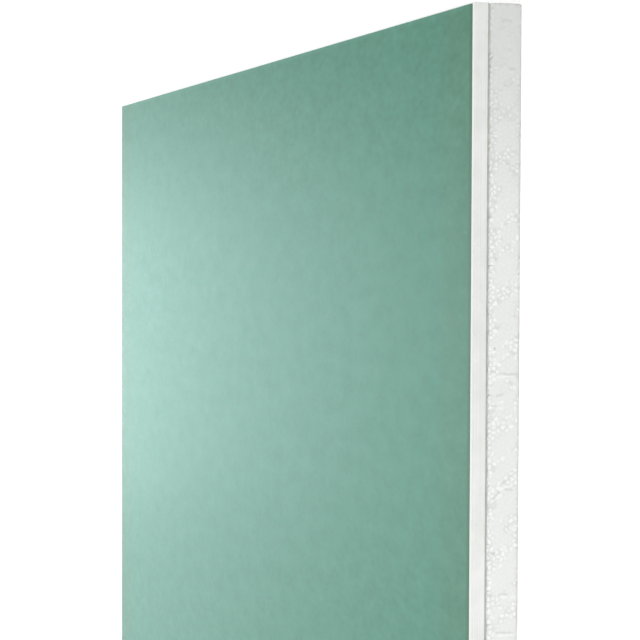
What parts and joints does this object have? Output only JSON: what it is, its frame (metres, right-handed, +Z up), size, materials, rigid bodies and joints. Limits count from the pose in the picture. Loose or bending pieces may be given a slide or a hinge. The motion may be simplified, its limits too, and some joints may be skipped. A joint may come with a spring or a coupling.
{
  "type": "insulated drywall sheet",
  "caption": "Flat rectangular sheet of green faced gypsum board glued to a slab of white bead foam, with square cut edges that show the layers.",
  "frame": {"origin": "middle of the foam's underside, on the floor that the sheet lies on", "axes": "+Y along the length, +X across the width, +Z up through the thickness, out of the green face"},
  "size_m": [1.2, 2.4, 0.0385],
  "materials": {
    "green_paper": "satin",
    "gypsum": "matte",
    "grey_paper": "matte",
    "adhesive": "matte",
    "bead_foam": "matte"
  },
  "bodies": {
    "root": {"face_paper": "green_paper", "gypsum_core": "gypsum", "back_paper": "grey_paper", "adhesive_ribbons": "adhesive", "foam_slab": "bead_foam"}
  },
  "joints": []
}
